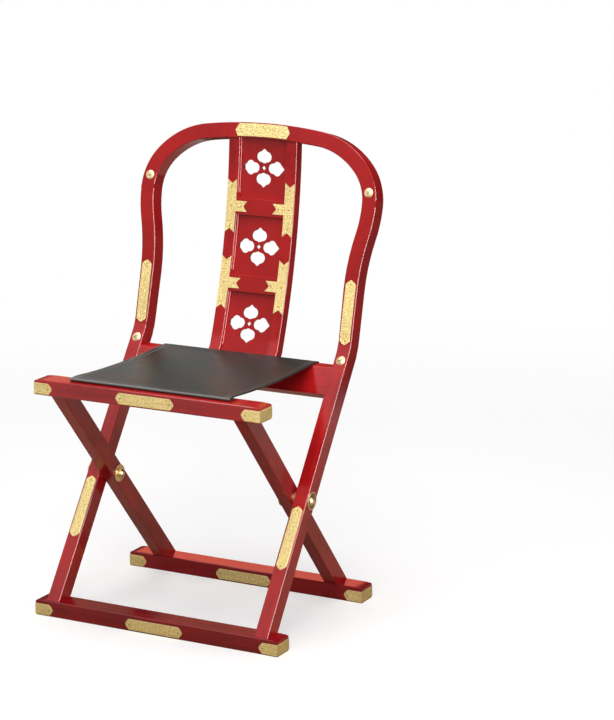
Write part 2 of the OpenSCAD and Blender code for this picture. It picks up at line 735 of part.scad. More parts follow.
// A long plate as a flat shape, with a point at each end
module strap(len, w) {
    right = [for (p = plate_end(w)) p + [len / 2, 0]];
    polygon(concat(right, [for (p = right) [-p.x, -p.y]]));
}
module strap_on_front(y, z) {
    color(gold) translate([0, y - rail_d / 2, z + plate_mid]) rotate([90, 0, 0])
        linear_extrude(plate_t) strap(plate_len, plate_w);
}
module front_foot_plate() {
    strap_on_front(front_foot_y, 0);
}
module rear_foot_plate() {
    strap_on_front(rear_foot_y, 0);
}
module seat_rail_plate() {
    strap_on_front(seat_rail_y, seat_rail_z);
}

// An end cap: front, end and back of a rail in one bent sheet, with a point on front and back
module rail_cap(side, len, y, z) {
    xe = len / 2;
    d = rail_d / 2 + plate_t;
    tip = [for (p = plate_end(cap_h)) [-p.x, -p.y]];
    color(gold) on_side(side) translate([0, y, z + cap_mid]) {
        translate([xe - plate_t, -d, -cap_h / 2]) cube([plate_t, 2 * d, cap_h]);
        for (m = [-1, 1]) translate([xe - cap_len, m * (d - plate_t / 2) + plate_t / 2, 0]) rotate([90, 0, 0])
            linear_extrude(plate_t) polygon(concat([[cap_len, cap_h / 2]], tip, [[cap_len, -cap_h / 2]]));
    }
}
module front_foot_cap_left() {
    rail_cap(-1, foot_rail_len, front_foot_y, 0);
}
module front_foot_cap_right() {
    rail_cap(1, foot_rail_len, front_foot_y, 0);
}
module rear_foot_cap_left() {
    rail_cap(-1, foot_rail_len, rear_foot_y, 0);
}
module rear_foot_cap_right() {
    rail_cap(1, foot_rail_len, rear_foot_y, 0);
}
module seat_rail_cap_left() {
    rail_cap(-1, seat_rail_len, seat_rail_y, seat_rail_z);
}
module seat_rail_cap_right() {
    rail_cap(1, seat_rail_len, seat_rail_y, seat_rail_z);
}

// The leg plates hang down the back legs' fronts from just under the pivot
module leg_plate(side) {
    color(gold) on_side(side) leg_frame() translate([back_leg_mid, -leg_plate_drop, -half_d - plate_t])
        linear_extrude(plate_t) rotate(90) strap(plate_len + 2, plate_w);
}
module leg_plate_left() {
    leg_plate(-1);
}
module leg_plate_right() {
    leg_plate(1);
}

// The hoop plates follow the front face out of the bend
module hoop_plate(side) {
    mid = frame_x - (hoop_w + back_leg_w) / 4;
    top_s = hoop_plate_s + plate_len;
    color(gold) on_side(side) intersection() {
        side_slab(leg_in_x - 5, frame_x + 5) polygon(concat(
            bend_edge(bend_r), [hoop_pt(top_s, 0), hoop_pt(top_s, -plate_t)], reversed(bend_edge(bend_r - plate_t))
        ));
        hoop_frame() translate([mid, hoop_plate_s, -leg_d]) linear_extrude(2 * leg_d)
            rotate(90) strap(plate_len, plate_w);
    }
}
module hoop_plate_left() {
    hoop_plate(-1);
}
module hoop_plate_right() {
    hoop_plate(1);
}

// The crest plate keeps the crest's curve and ends in blunt points
module crest_plate() {
    x1 = crest_plate_len / 2;
    x0 = x1 - plate_tip;
    mid = hoop_rise - hoop_w / 2 - (crest_r - sqrt(crest_r * crest_r - x1 * x1));
    m = crest_plate_margin;
    color(gold) hoop_frame() translate([0, 0, -plate_t]) linear_extrude(plate_t) intersection() {
        ring_sector(crest_c, crest_in_r + m, crest_r - m, crest_a, 180 - crest_a);
        polygon([
            [-x1, mid], [-x0, mid + hoop_w / 2], [-x0 + 6, mid + hoop_w], [x0 - 6, mid + hoop_w],
            [x0, mid + hoop_w / 2], [x1, mid], [x0, mid - hoop_w / 2], [x0 - 6, mid - hoop_w],
            [-x0 + 6, mid - hoop_w], [-x0, mid - hoop_w / 2]
        ]);
    }
}

// A T fitting lies over a stile and the end of a splat rail, bent to the splat's bow
module splat_fitting(side, z) {
    x1 = stile_x - (stile_w - tee_w) / 4;
    x0 = x1 - tee_w;
    arm = tee_w / 2;
    half = tee_len / 2;
    tip = stile_in_x - tee_arm;
    turn = bow_deg(half + 5);
    color(gold) on_side(side) intersection() {
        side_slab(0, stile_x + 5) ring_sector(
            bow_c, bow_r - plate_t - plate_fit, bow_r - plate_fit, bow_a(z) - turn, bow_a(z) + turn
        );
        splat_frame(z) polygon([
            [x1, -half], [x1, half], [(x0 + x1) / 2, half - tee_notch], [x0, half], [x0, arm], [tip, arm],
            [tip + tee_notch, 0], [tip, -arm], [x0, -arm], [x0, -half], [(x0 + x1) / 2, -half + tee_notch]
        ]);
    }
}
module splat_fitting_upper_left() {
    splat_fitting(-1, splat_rail_high);
}
module splat_fitting_upper_right() {
    splat_fitting(1, splat_rail_high);
}
module splat_fitting_lower_left() {
    splat_fitting(-1, splat_rail_low);
}
module splat_fitting_lower_right() {
    splat_fitting(1, splat_rail_low);
}

// Half the section of a domed screw, turned about its axis: the head's underside is z = 0
module domed_screw(head_r, dome_h, shank_r, len) {
    r = (head_r * head_r + dome_h * dome_h) / (2 * dome_h);
    rotate_extrude() {
        intersection() {
            translate([0, dome_h - r]) circle(r);
            square([head_r, dome_h]);
        }
        translate([0, -len]) square([shank_r, len]);
    }
}
module scarf_screw() {
    mirror([0, 0, 1]) domed_screw(scarf_head_r, scarf_dome_h, scarf_shank_r, leg_d - screw_short);
}
module hoop_screws() {
    color(gold) both_sides() {
        leg_frame() translate([back_leg_mid, low_screw_t, -half_d]) scarf_screw();
        hoop_frame() translate([high_screw.x, high_screw.y, 0]) scarf_screw();
    }
}
module splat_screws() {
    color(gold) both_sides() leg_frame() for (t = splat_screw_ts)
        translate([stile_mid_x, t, stile_back_n])
            domed_screw(splat_head_r, 1.6, splat_shank_r, stile_back_n - rear_rail_n0 - 5);
}

// The tacks behind the rear seat rail hold the leather's flap
flap_n = rear_rail_n1 + leather_fit + leather_t;
module tack_bores(r) {
    leg_frame() for (x = concat(rear_tacks, middle_tacks))
        translate([x, flap_t0 + 7, flap_n - tack_len]) cylinder(h = tack_len + 1, r = r, $fn = 24);
}
module rear_leather_tacks() {
    color(gold) leg_frame() for (x = concat(rear_tacks, middle_tacks))
        translate([x, flap_t0 + 7, flap_n]) domed_screw(tack_head_r, 0.9, tack_r, tack_len);
}

// The pivots: bolt head and washer outside the back leg, spacer between the legs, washer and nut inside the seat leg
nut_x = seat_leg_in_x - run_fit - washer_t;
module pivot_bolts() {
    color(gold) both_sides() {
        rod_x(nut_x - 6, frame_x + washer_t + 0.5, bolt_r);
        translate([frame_x + washer_t, pivot_y, pivot_z]) rotate([0, 90, 0]) domed_screw(dome_r, 4.5, bolt_r, 1);
    }
}
module rimmed_washer() {
    rotate_extrude() {
        translate([bolt_r + pin_fit, 0]) square([washer_r - bolt_r - pin_fit, washer_t]);
        translate([washer_r - 2.5, washer_t - 0.2]) square([2.5, 1]);
        translate([washer_r - 6, washer_t - 0.2]) square([1.2, 0.6]);
    }
}
module pivot_washers() {
    color(gold) both_sides() {
        translate([frame_x, pivot_y, pivot_z]) rotate([0, 90, 0]) rimmed_washer();
        translate([seat_leg_in_x - run_fit, pivot_y, pivot_z]) rotate([0, -90, 0]) rimmed_washer();
    }
}
module pivot_spacers() {
    color(gold) both_sides() difference() {
        rod_x(seat_leg_x + run_fit, leg_in_x, washer_r * 0.85);
        rod_x(seat_leg_x - 1, leg_in_x + 1, bolt_r + pin_fit);
    }
}
module pivot_nuts() {
    wall = 3.5;
    color(gold) both_sides() translate([nut_x, pivot_y, pivot_z]) rotate([0, -90, 0]) rotate_extrude() difference() {
        union() {
            square([dome_r, wall / 2]);
            intersection() {
                translate([0, wall - 1.5]) circle(sqrt(dome_r * dome_r + 2.25));
                square([dome_r, 20]);
            }
        }
        translate([0, -1]) square([bolt_r + pin_fit, 7 + pin_fit]);
    }
}

// The seat legs cross inside the back legs
module seat_leg(side) {
    z0 = foot_rail_h;
    z1 = seat_rail_z;
    function b_pt(z, n) = [
        pivot_y - (z - pivot_z) * tan(seat_lean) + n / cos(seat_lean), z
    ];
    color(red) on_side(side) difference() {
        union() {
            side_slab(seat_leg_in_x, seat_leg_x)
                polygon([b_pt(z0, -half_d), b_pt(z0, half_d), b_pt(z1, half_d), b_pt(z1, -half_d)]);
            post_tenon(seat_leg_mid, rear_foot_y, z0 - tenon_len, z0 + 4, 0);
            post_tenon(seat_leg_mid, seat_leg_top_y, z1 - 4, z1 + tenon_len, 0);
        }
        rod_x(seat_leg_in_x - 1, seat_leg_x + 1, bolt_r + pin_fit);
    }
}
module seat_leg_left() {
    seat_leg(-1);
}
module seat_leg_right() {
    seat_leg(1);
}

// The leather: a hem round the batten in front, the seat's sag, a turn over the rear rail's edge and a flap behind it
function sag_z(k) = seat_z + (leather_rear_z - seat_z) * k - 4 * leather_sag * k * (1 - k);
sag_y0 = hem_y + batten_w + hem_in;
module leather_profile() {
    translate([hem_y, hem_z]) square([batten_w + 4, leather_t]);
    ring_sector([hem_y, hem_mid], hem_in, hem_out, 90, 180);
    ring_sector([hem_y, hem_mid], hem_in, hem_out, 180, 270);
    top = [for (i = [0:sag_steps]) let (k = i / sag_steps) [sag_y0 + (leather_rear_y - sag_y0) * k, sag_z(k)]];
    under = concat([[hem_y, seat_z]], top, [[rear_edge.x, leather_rear_z]]);
    over = [for (i = [len(under) - 1:-1:0]) under[i] + [0, leather_t]];
    polygon(concat(under, over));
    ring_sector(rear_edge, leather_fit, leather_fit + leather_t, -back_lean, 90);
    on_leg() translate([rear_rail_n1 + leather_fit, flap_t0]) square([leather_t, leather_flap]);
}
module seat_leather() {
    color(hide) difference() {
        side_slab(-leather_w / 2, leather_w / 2) leather_profile();
        tack_bores(tack_r + leather_fit);
        at_front_tacks(hem_z - 1) cylinder(h = leather_t + 1.2, r = tack_r + leather_fit, $fn = 24);
    }
}
// The front tacks go down through the middle of the batten, their flat heads flush with its top
tack_sink = 0.6;
module at_front_tacks(z) {
    for (x = front_tacks) translate([x, hem_y + batten_w / 2 + hem_in, z]) children();
}
module leather_batten() {
    z0 = hem_mid - batten_t / 2;
    color(red) difference() {
        translate([-leather_w / 2 + 3, hem_y + hem_in, z0]) cube([leather_w - 6, batten_w, batten_t]);
        at_front_tacks(z0 - 1) cylinder(h = batten_t + 2, r = tack_r + pin_fit, $fn = 24);
        at_front_tacks(z0 + batten_t - tack_sink) cylinder(h = 2, r = tack_head_r + pin_fit, $fn = 32);
    }
}
module front_leather_tacks() {
    top = hem_mid + batten_t / 2;
    low = seat_h - tack_len + 0.5;
    color(gold) {
        at_front_tacks(top - tack_sink) cylinder(h = tack_sink, r = tack_head_r, $fn = 32);
        at_front_tacks(low) cylinder(h = top - tack_sink / 3 - low, r = tack_r, $fn = 24);
    }
}

front_foot_rail();
back_leg_left();
back_leg_right();
rear_seat_rail();
hoop_side_left();
hoop_side_right();
crest_rail();
splat_stile_left();
splat_stile_right();
splat_rail_upper();
splat_rail_lower();
splat_rail_bottom();
splat_panel_top();
splat_panel_middle();
splat_panel_bottom();
splat_fitting_upper_left();
splat_fitting_upper_right();
splat_fitting_lower_left();
splat_fitting_lower_right();
crest_plate();
hoop_plate_left();
hoop_plate_right();
leg_plate_left();
leg_plate_right();
front_foot_plate();
front_foot_cap_left();
front_foot_cap_right();
hoop_screws();
splat_screws();
rear_leather_tacks();
pivot_bolts();
pivot_washers();
pivot_spacers();
pivot_nuts();
seat_leather();
front_seat_rail();
seat_leg_left();
seat_leg_right();
rear_foot_rail();
seat_rail_plate();
seat_rail_cap_left();
seat_rail_cap_right();
rear_foot_plate();
rear_foot_cap_left();
rear_foot_cap_right();
leather_batten();
front_leather_tacks();
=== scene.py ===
import json
import math

import bmesh
import bpy
from mathutils import Matrix, Vector
from mathutils.bvhtree import BVHTree


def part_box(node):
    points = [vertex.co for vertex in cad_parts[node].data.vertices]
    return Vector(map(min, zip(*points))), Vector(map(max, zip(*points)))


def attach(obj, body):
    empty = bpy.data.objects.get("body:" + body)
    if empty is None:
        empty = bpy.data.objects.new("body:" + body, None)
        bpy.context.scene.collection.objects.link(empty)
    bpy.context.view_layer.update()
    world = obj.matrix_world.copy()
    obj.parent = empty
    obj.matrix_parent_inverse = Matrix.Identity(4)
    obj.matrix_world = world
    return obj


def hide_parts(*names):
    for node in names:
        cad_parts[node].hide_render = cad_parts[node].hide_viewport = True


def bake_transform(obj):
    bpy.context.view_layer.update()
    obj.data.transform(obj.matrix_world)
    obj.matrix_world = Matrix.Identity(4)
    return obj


# A folding temple chair in red lacquer, with gilt fittings and a leather sling.
# Metres, X to the right as seen from the front, Y to the back, Z up, the floor at Z = 0.
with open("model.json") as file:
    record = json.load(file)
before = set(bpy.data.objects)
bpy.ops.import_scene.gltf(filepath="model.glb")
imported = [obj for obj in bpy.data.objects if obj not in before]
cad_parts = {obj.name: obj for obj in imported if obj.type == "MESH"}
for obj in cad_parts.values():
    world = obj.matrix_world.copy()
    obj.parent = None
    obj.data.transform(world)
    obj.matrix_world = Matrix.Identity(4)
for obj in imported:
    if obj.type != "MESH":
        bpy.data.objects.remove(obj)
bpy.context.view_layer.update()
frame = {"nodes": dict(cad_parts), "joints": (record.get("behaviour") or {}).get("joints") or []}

# The studio
# The camera stands to the right of the chair's front, as high as a standing person's face, with a long
# lens. Soft boxes light the chair from above, in front, the right and behind. A pale floor runs to white.
scene = bpy.context.scene
scene.view_settings.view_transform = "Standard"

camera_place = (2.2942, -3.9644, 1.5468)
camera_right = (0.88444, 0.46664, -0.00256)
camera_up = (-0.10508, 0.20452, 0.97321)
camera_back = (0.45466, -0.86048, 0.22992)
camera_lens = bpy.data.cameras.new("camera")
camera_lens.lens = 127.67
camera_lens.sensor_width = 36
camera_lens.clip_end = 60
camera = bpy.data.objects.new("camera", camera_lens)
camera_axes = Matrix((camera_right, camera_up, camera_back)).transposed().to_4x4()
camera.matrix_world = Matrix.Translation(camera_place) @ camera_axes
scene.collection.objects.link(camera)
scene.camera = camera


def soft_box(name, place, aim, size, watts):
    """A rectangular lamp that faces its aim."""
    lamp = bpy.data.lights.new(name, "AREA")
    lamp.shape = "RECTANGLE"
    lamp.size, lamp.size_y = size
    lamp.energy = watts
    box = bpy.data.objects.new(name, lamp)
    box.location = place
    box.rotation_euler = (Vector(aim) - Vector(place)).to_track_quat("-Z", "Y").to_euler()
    scene.collection.objects.link(box)


soft_box("light_above", place=(-0.1, -0.4, 3.0), aim=(0, 0.1, 0.4), size=(2.4, 2.0), watts=54)
soft_box("light_front", place=(1.5, -2.9, 2.7), aim=(0, 0, 0.45), size=(1.8, 1.2), watts=44)
soft_box("light_right", place=(2.9, -1.1, 1.1), aim=(0, 0, 0.4), size=(0.5, 2.2), watts=12)
soft_box("light_behind", place=(-1.2, 2.6, 2.4), aim=(0, 0.1, 0.5), size=(2.0, 1.4), watts=16)


class Wire:
    """A shader socket that takes part in Python sums: each sum adds its Math nodes."""

    def __init__(self, finish, socket):
        self.finish = finish
        self.socket = socket

    def __add__(self, other):
        return self.finish.sum("ADD", self, other)

    def __radd__(self, other):
        return self.finish.sum("ADD", other, self)

    def __sub__(self, other):
        return self.finish.sum("SUBTRACT", self, other)

    def __rsub__(self, other):
        return self.finish.sum("SUBTRACT", other, self)

    def __mul__(self, other):
        return self.finish.sum("MULTIPLY", self, other)

    def __rmul__(self, other):
        return self.finish.sum("MULTIPLY", other, self)

    def __truediv__(self, other):
        return self.finish.sum("DIVIDE", self, other)

    def __abs__(self):
        return self.finish.sum("ABSOLUTE", self)


class Finish:
    """The nodes of one material or of the world."""

    def __init__(self, owner):
        owner.use_nodes = True
        self.owner = owner
        self.tree = owner.node_tree
        self.tree.nodes.clear()

    def node(self, kind, settings=None, sockets=None, out=0):
        """One node: its settings come first, then a value or a link for each socket."""
        made = self.tree.nodes.new(kind)
        for name, value in (settings or {}).items():
            setattr(made, name, value)
        for name, value in (sockets or {}).items():
            if isinstance(value, Wire):
                self.tree.links.new(value.socket, made.inputs[name])
            else:
                made.inputs[name].default_value = value
        return Wire(self, made.outputs[out])

    def sum(self, operation, *values):
        return self.node("ShaderNodeMath", {"operation": operation}, dict(enumerate(values)))

    def rise(self, value, low, high):
        """0 below low and 1 above high, smoothly between."""
        sockets = {"Value": value, "From Min": low, "From Max": high}
        return self.node("ShaderNodeMapRange", {"interpolation_type": "SMOOTHSTEP"}, sockets)

    def mix(self, colour_a, colour_b, share):
        """Colour a where share is 0 and colour b where it is 1."""
        # A Mix node takes its colours at sockets 6 and 7, and gives its colour at output 2.
        return self.node("ShaderNodeMix", {"data_type": "RGBA"}, {0: share, 6: colour_a, 7: colour_b}, 2)

    def bump(self, height, distance, strength):
        sockets = {"Height": height, "Distance": distance, "Strength": strength}
        return self.node("ShaderNodeBump", None, sockets)

    def end(self, shader):
        owner_kind = "World" if isinstance(self.owner, bpy.types.World) else "Material"
        output = self.tree.nodes.new("ShaderNodeOutput" + owner_kind)
        self.tree.links.new(shader.socket, output.inputs["Surface"])


# The background is white where it is seen or mirrored, and dimmer as a light.
room = Finish(bpy.data.worlds.new("room"))
scene.world = room.owner
seen = room.node("ShaderNodeLightPath", out="Is Camera Ray")
mirrored = room.node("ShaderNodeLightPath", out="Is Glossy Ray")
through = room.node("ShaderNodeLightPath", out="Is Transmission Ray")
shown = room.sum("MAXIMUM", room.sum("MAXIMUM", seen, mirrored), through)
room_light = room.node("ShaderNodeBackground", None, {"Color": (0.95, 0.96, 1, 1), "Strength": 0.28})
room_seen = room.node("ShaderNodeBackground", None, {"Color": (1, 1, 1, 1), "Strength": 1.0})
room.end(room.node("ShaderNodeMixShader", None, {0: shown, 1: room_light, 2: room_seen}))

# The floor is paper that fades out into the white some way from the chair. The camera sees it pale, the
# gloss of the lacquer sees it olive, and the light that it throws back on the chair is kept low.
floor_half = 4
fade_from, fade_to = 0.9, 2.6
floor_shape = bmesh.new()
bmesh.ops.create_grid(floor_shape, x_segments=2, y_segments=2, size=floor_half)
floor_mesh = bpy.data.meshes.new("studio_floor")
floor_shape.to_mesh(floor_mesh)
floor_shape.free()
floor = bpy.data.objects.new("studio_floor", floor_mesh)
scene.collection.objects.link(floor)
paper = Finish(bpy.data.materials.new("floor_paper"))
paper_at = paper.node("ShaderNodeTexCoord", out="Object")
paper_far = paper.node("ShaderNodeVectorMath", {"operation": "LENGTH"}, {0: paper_at}, "Value")
paper_seen = paper.node("ShaderNodeLightPath", out="Is Camera Ray")
paper_glossed = paper.node("ShaderNodeLightPath", out="Is Glossy Ray")
paper_pale = paper.node("ShaderNodeBsdfDiffuse", None, {"Color": (0.60, 0.59, 0.58, 1)})
paper_olive = paper.node("ShaderNodeBsdfDiffuse", None, {"Color": (0.50, 0.41, 0.30, 1)})
paper_low = paper.node("ShaderNodeBsdfDiffuse", None, {"Color": (0.27, 0.24, 0.22, 1)})
paper_unseen = paper.node("ShaderNodeMixShader", None, {0: paper_glossed, 1: paper_low, 2: paper_olive})
paper_base = paper.node("ShaderNodeMixShader", None, {0: paper_seen, 1: paper_unseen, 2: paper_pale})
paper_glow = paper.node("ShaderNodeEmission", None, {"Color": (1, 1, 1, 1), "Strength": 0.47 * paper_seen})
paper_lit = paper.node("ShaderNodeAddShader", None, {0: paper_base, 1: paper_glow})
paper_clear = paper.node("ShaderNodeBsdfTransparent")
paper_faded = paper.rise(paper_far, fade_from, fade_to)
paper.end(paper.node("ShaderNodeMixShader", None, {0: paper_faded, 1: paper_lit, 2: paper_clear}))
floor_mesh.materials.append(paper.owner)


# Cards out of the picture, seen only in the gloss. Dark ones behind keep the tops and right-hand sides
# deep. A brown one with a dark notch, an orange and a warm one colour the tops of the three rails, one low
# on the right warms the sides, one in front dulls the fronts, and the bright strip draws the arrises.
def gloss_card(name, place, size, colour, strength=1.0, aim=None):
    """A flat card that faces its aim, or straight forward without one."""
    aim = aim or (place[0], 0, place[2])
    turn = (Vector(aim) - Vector(place)).to_track_quat("Z", "Y").to_matrix().to_4x4()
    spread = Matrix.Translation(place) @ turn @ Matrix.Diagonal((size[0] / 2, size[1] / 2, 1, 1))
    shape = bmesh.new()
    bmesh.ops.create_grid(shape, x_segments=1, y_segments=1, size=1, matrix=spread)
    mesh = bpy.data.meshes.new(name)
    shape.to_mesh(mesh)
    shape.free()
    card = bpy.data.objects.new(name, mesh)
    scene.collection.objects.link(card)
    card.visible_camera = card.visible_diffuse = card.visible_transmission = card.visible_shadow = False
    paint = Finish(bpy.data.materials.new(name))
    paint.end(paint.node("ShaderNodeEmission", None, {"Color": colour, "Strength": strength}))
    mesh.materials.append(paint.owner)


dark_card = (0.035, 0.025, 0.022, 1)
gloss_card("card_behind", place=(0.4, 1.52, 0.6), size=(6.4, 1.2), colour=dark_card)
gloss_card("card_tall", place=(1.25, 1.56, 1.5), size=(4.4, 2.4), colour=dark_card)
gloss_card("card_brown", place=(-1.15, 1.50, 0.73), size=(1.3, 0.19), colour=(0.33, 0.29, 0.19, 1))
gloss_card("card_notch", place=(-1.06, 1.48, 0.71), size=(0.07, 0.12), colour=(0.02, 0.01, 0.01, 1))
gloss_card(
    "card_low", place=(-0.23, 0.545, 0.18), size=(0.64, 0.08), colour=(0.85, 0.17, 0.11, 1), strength=3.2
)
gloss_card(
    "card_warm", place=(-1.43, 1.50, 0.96), size=(0.30, 0.10), colour=(0.95, 0.34, 0.20, 1), strength=2.2
)
gloss_card("card_side", place=(0.95, 1.50, 0.34), size=(1.3, 0.56), colour=(0.17, 0.10, 0.08, 1))
gloss_card(
    "card_front", place=(-1.4, -2.65, 1.15), aim=(0, 0, 0.6), size=(1.9, 1.5), colour=(0.40, 0.34, 0.33, 1)
)
gloss_card(
    "card_strip", place=(2.5, -0.95, 1.0), aim=(0, 0, 0.5), size=(1.5, 2.6), colour=(1, 0.93, 0.90, 1),
    strength=12.0,
)


# Back legs and front foot rail
# The back frame starts from its foot rail, with a leg mortised into it at each side. It is wood under many
# coats of red lacquer, rubbed back and polished. Its broken arrises are painted paler, partly as worn
# lacquer and partly as a painted highlight.
def red_lacquer(name, stretch, deep, clear):
    """Clear red lacquer over darker undercoats, which show through in streaks along the wood."""
    coat = Finish(bpy.data.materials.new(name))
    place = coat.node("ShaderNodeTexCoord", out="Object")
    along = coat.node("ShaderNodeVectorMath", {"operation": "MULTIPLY"}, {0: place, 1: stretch})
    cloud = coat.node("ShaderNodeTexNoise", None, {"Vector": place, "Scale": 7.0, "Detail": 3.0})
    fine = coat.node("ShaderNodeTexNoise", None, {"Vector": place, "Scale": 60.0, "Detail": 4.0})
    streak = coat.node("ShaderNodeTexNoise", None, {"Vector": along, "Scale": 1.0, "Detail": 4.0})
    peel = coat.node("ShaderNodeTexNoise", None, {"Vector": place, "Scale": 150.0, "Detail": 1.0})
    red = coat.mix(deep, clear, coat.rise(cloud * 0.5 + fine * 0.15 + streak * 0.35, 0.36, 0.62))
    # Paler lacquer inside the rounded arrises: partly wear, partly a painted highlight along the edges.
    arris_wear_and_highlight = coat.node("ShaderNodeAttribute", {"attribute_name": "arris_wear_and_highlight"}, out="Fac")
    coat.end(coat.node("ShaderNodeBsdfPrincipled", None, {
        "Base Color": coat.mix(red, (0.80, 0.22, 0.17, 1), arris_wear_and_highlight * (0.4 + 0.6 * cloud)),
        "Roughness": 0.12 + 0.10 * fine,
        "IOR": 1.5,
        "Normal": coat.bump(peel, distance=0.00006, strength=0.6),
    }))
    return coat


plain_lacquer = red_lacquer(
    "red_lacquer", stretch=(14, 14, 14), deep=(0.41, 0.010, 0.011, 1), clear=(0.50, 0.013, 0.013, 1)
)
leg_lacquer = red_lacquer(
    "red_lacquer_legs", stretch=(110, 8, 8), deep=(0.33, 0.006, 0.008, 1), clear=(0.53, 0.011, 0.012, 1)
)
seat_rail_lacquer = red_lacquer(
    "red_lacquer_rails", stretch=(6, 110, 110), deep=(0.36, 0.006, 0.008, 1), clear=(0.54, 0.011, 0.012, 1)
)
# The foot rails take a darker copy of the lacquer: painted shade, darker towards the floor.
foot_rail_lacquer_shaded = red_lacquer(
    "red_lacquer_feet_shaded", stretch=(6, 110, 110), deep=(0.20, 0.003, 0.008, 1), clear=(0.34, 0.006, 0.012, 1)
)

# Corners closer than the gap are one. Faces that turn less than the flat angle, in radians, are one face.
weld_gap, flat_angle = 0.000004, 0.003
# Wood that turns more than this has an arris there. Any edge sharper than the next shows as a crease.
arris_angle, sharp_angle = 0.5, 0.6


def cad_shape(node):
    """A CAD node's triangles as one closed mesh with whole flat faces."""
    shape = bmesh.new()
    shape.from_mesh(frame["nodes"][node].data)
    bmesh.ops.remove_doubles(shape, verts=shape.verts, dist=weld_gap)
    bmesh.ops.dissolve_limit(shape, angle_limit=flat_angle, verts=shape.verts, edges=shape.edges)
    return shape


# The wood, and with the caps round it, what an arris may touch.
WOOD = [
    "front_foot_rail", "back_leg_left", "back_leg_right", "rear_seat_rail", "hoop_side_left",
    "hoop_side_right", "crest_rail", "splat_stile_left", "splat_stile_right", "splat_rail_upper",
    "splat_rail_lower", "splat_rail_bottom", "splat_panel_top", "splat_panel_middle", "splat_panel_bottom",
    "front_seat_rail", "seat_leg_left", "seat_leg_right", "rear_foot_rail",
]
solid_faces = {}
for solid in WOOD + [name for name in frame["nodes"] if "_cap_" in name]:
    solid_shape = cad_shape(solid)
    solid_faces[solid] = BVHTree.FromBMesh(solid_shape)
    solid_shape.free()


def free_arrises(shape, node):
    """The outside edges of a piece of wood, but for short ones and those that meet other wood or a cap."""
    others = [faces for name, faces in solid_faces.items() if name != node]
    shortest = 0.004 if "panel" in node else 0.0015
    touching = 0.0005
    found = []
    for edge in shape.edges:
        if len(edge.link_faces) != 2 or not edge.is_convex or edge.calc_length() < shortest:
            continue
        if edge.calc_face_angle() <= arris_angle:
            continue
        middle = (edge.verts[0].co + edge.verts[1].co) / 2
        if all(faces.find_nearest(middle, touching)[0] is None for faces in others):
            found.append(edge)
    return found


def break_edges(shape, edges, width, segments, clamped):
    """Bevels the edges. One segment is a chamfer, more are round, and clamped ones fit the shortest edge."""
    return bmesh.ops.bevel(
        shape, geom=edges, offset=width, offset_type="OFFSET", segments=segments, profile=0.5,
        affect="EDGES", clamp_overlap=clamped, material=-1,
    )


def finished(shape, name, finish, body, stands_for=()):
    """The piece as an object that rides on its body, with flat faces kept flat between broken edges."""
    for face in shape.faces:
        face.smooth = True
    for edge in shape.edges:
        edge.smooth = not (len(edge.link_faces) == 2 and edge.calc_face_angle(0) > sharp_angle)
    mesh = bpy.data.meshes.new(name)
    shape.to_mesh(mesh)
    shape.free()
    piece = bpy.data.objects.new(name, mesh)
    scene.collection.objects.link(piece)
    mesh.materials.append(finish.owner)
    level = piece.modifiers.new("level_faces", "WEIGHTED_NORMAL")
    level.keep_sharp = True
    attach(piece, body)
    for node in stands_for:
        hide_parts(node)
    return piece


def lacquered(node, body, arris, chamfered=False):
    """A piece of wood with its free arrises chamfered or rounded, and painted paler there, as wear and as a
    painted highlight.
    """
    shape = cad_shape(node)
    # The faces inside a rounded arris take the paler lacquer: wear and painted highlight.
    arris_wear_and_highlight = shape.verts.layers.float.new("arris_wear_and_highlight")
    broken = break_edges(
        shape, free_arrises(shape, node), arris, segments=1 if chamfered else 3, clamped=not chamfered
    )
    broken_faces = set(broken["faces"])
    for vert in broken["verts"]:
        vert[arris_wear_and_highlight] = 1.0 if all(face in broken_faces for face in vert.link_faces) else 0.0
    coat = plain_lacquer
    if "leg" in node or "stile" in node:
        coat = leg_lacquer
    elif "seat_rail" in node:
        coat = seat_rail_lacquer
    elif "foot_rail" in node:
        coat = foot_rail_lacquer_shaded
    return finished(shape, node + "_lacquered", coat, body, [node])


lacquered("front_foot_rail", "back_frame", arris=0.0006)
for hand in ("left", "right"):
    lacquered(f"back_leg_{hand}", "back_frame", arris=0.0009, chamfered=True)

# Rear seat rail
# A board between the back legs, tenoned into both. The leather turns over its top edge and is tacked
# behind it.
lacquered("rear_seat_rail", "back_frame", arris=0.0009, chamfered=True)

# Hoop sides and crest rail
# Three bent pieces scarfed into one horseshoe: each side is lapped onto its leg below, and the crest laps
# onto both.
for bent_piece in ("hoop_side_left", "hoop_side_right", "crest_rail"):
    lacquered(bent_piece, "back_frame", arris=0.0010, chamfered=True)

# Splat
# Two bowed stiles with a stepped inner edge, rails housed between them, and three thin panels in grooves.
# Each panel is sawn through with a flower of four petals round a small square eye.
for hand in ("left", "right"):
    lacquered(f"splat_stile_{hand}", "back_frame", arris=0.0008, chamfered=True)
for level in ("upper", "lower"):
    lacquered(f"splat_rail_{level}", "back_frame", arris=0.0004)
lacquered("splat_rail_bottom", "back_frame", arris=0.0005)
for level in ("top", "middle", "bottom"):
    lacquered(f"splat_panel_{level}", "back_frame", arris=0.0004)

# Seat frame
# The frame that crosses inside the back legs: seat rail on top in front, two legs, and the rear foot rail.
lacquered("front_seat_rail", "seat_frame", arris=0.0006)
for hand in ("left", "right"):
    lacquered(f"seat_leg_{hand}", "seat_frame", arris=0.0009, chamfered=True)
lacquered("rear_foot_rail", "seat_frame", arris=0.0006)

